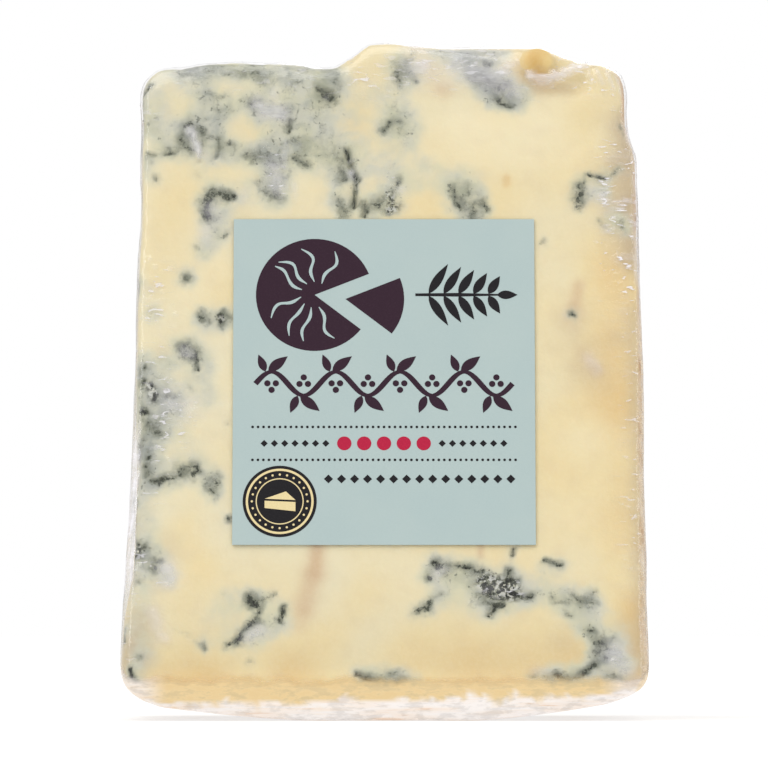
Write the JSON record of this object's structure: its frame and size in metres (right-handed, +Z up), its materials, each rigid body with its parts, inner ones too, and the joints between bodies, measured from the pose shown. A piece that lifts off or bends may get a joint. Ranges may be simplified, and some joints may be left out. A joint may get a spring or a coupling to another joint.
{
  "type": "stilton wedge",
  "caption": "Thick wedge of blue-veined cheese wrapped in clear film, standing on its curved rind, with a rectangular paper label on its cut face.",
  "frame": {"origin": "under the middle of the wedge's box, on the surface that its rind rests on", "axes": "+Z up from the rind to the nose, +X along the axis of the wheel that the wedge was cut from, the labelled cut face looks towards -Y"},
  "size_m": [0.077, 0.0528, 0.1002],
  "materials": {
    "blue_cheese": "moist cream paste with grey-blue mould veins and a pinkish tan rind",
    "clear_film": "thin clear cling film, glossy, with fine crinkles at the edges",
    "label_paper": "smooth coated paper, pale grey-blue, satin, with a dark, a crimson and a pale gold print of plain shapes"
  },
  "bodies": {
    "root": {"cheese_in_film": "blue_cheese", "label": "label_paper"}
  },
  "joints": []
}
